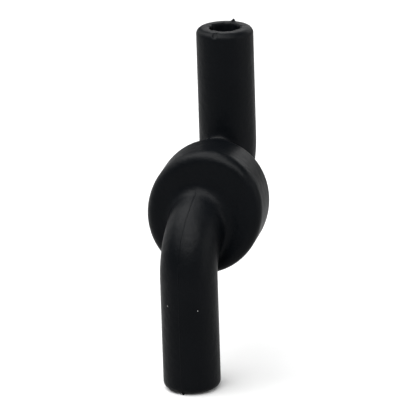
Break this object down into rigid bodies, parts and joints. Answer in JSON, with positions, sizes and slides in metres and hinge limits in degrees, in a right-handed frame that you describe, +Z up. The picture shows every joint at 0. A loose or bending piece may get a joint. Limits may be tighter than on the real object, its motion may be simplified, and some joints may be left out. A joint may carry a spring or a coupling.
{
  "type": "in-line vibration dampener",
  "caption": "Moulded rubber in-line vibration dampener: a drum with offset up and down hose sockets round a sealed capsule with a sprung plate and bleed jet.",
  "frame": {"origin": "centre of the drum and of the whole part", "axes": "+Z up along the upper tube, -Y out of the drum's front face where the lower tube leaves, +X to the right seen from the front"},
  "size_m": [0.0294, 0.0392, 0.077],
  "materials": {
    "rubber_body": "satin black moulded EPDM rubber",
    "capsule_nylon": "black glass-filled nylon, as moulded",
    "seal_rubber": "smooth nitrile rubber",
    "plate_acetal": "natural acetal, as moulded",
    "jet_brass": "turned brass",
    "spring_steel": "drawn stainless spring wire",
    "strainer_steel": "punched stainless sheet"
  },
  "bodies": {
    "jacket": {"rubber_body": "rubber_body", "inlet_housing": "capsule_nylon", "outlet_housing": "capsule_nylon", "housing_seal": "seal_rubber", "guide_spider": "plate_acetal", "inlet_strainer": "strainer_steel", "outlet_strainer": "strainer_steel", "damper_spring": "spring_steel"},
    "plate": {"damper_plate": "plate_acetal", "plate_seal": "seal_rubber", "bleed_orifice": "jet_brass"}
  },
  "joints": [
    {"name": "plate_lift", "type": "slide", "parent": "jacket", "child": "plate", "axis": [0, 1, 0], "range_m": [0, 0.0015], "stiffness_N_per_m": 150, "springref_m": -0.0005, "deforming": ["damper_spring"]}
  ]
}
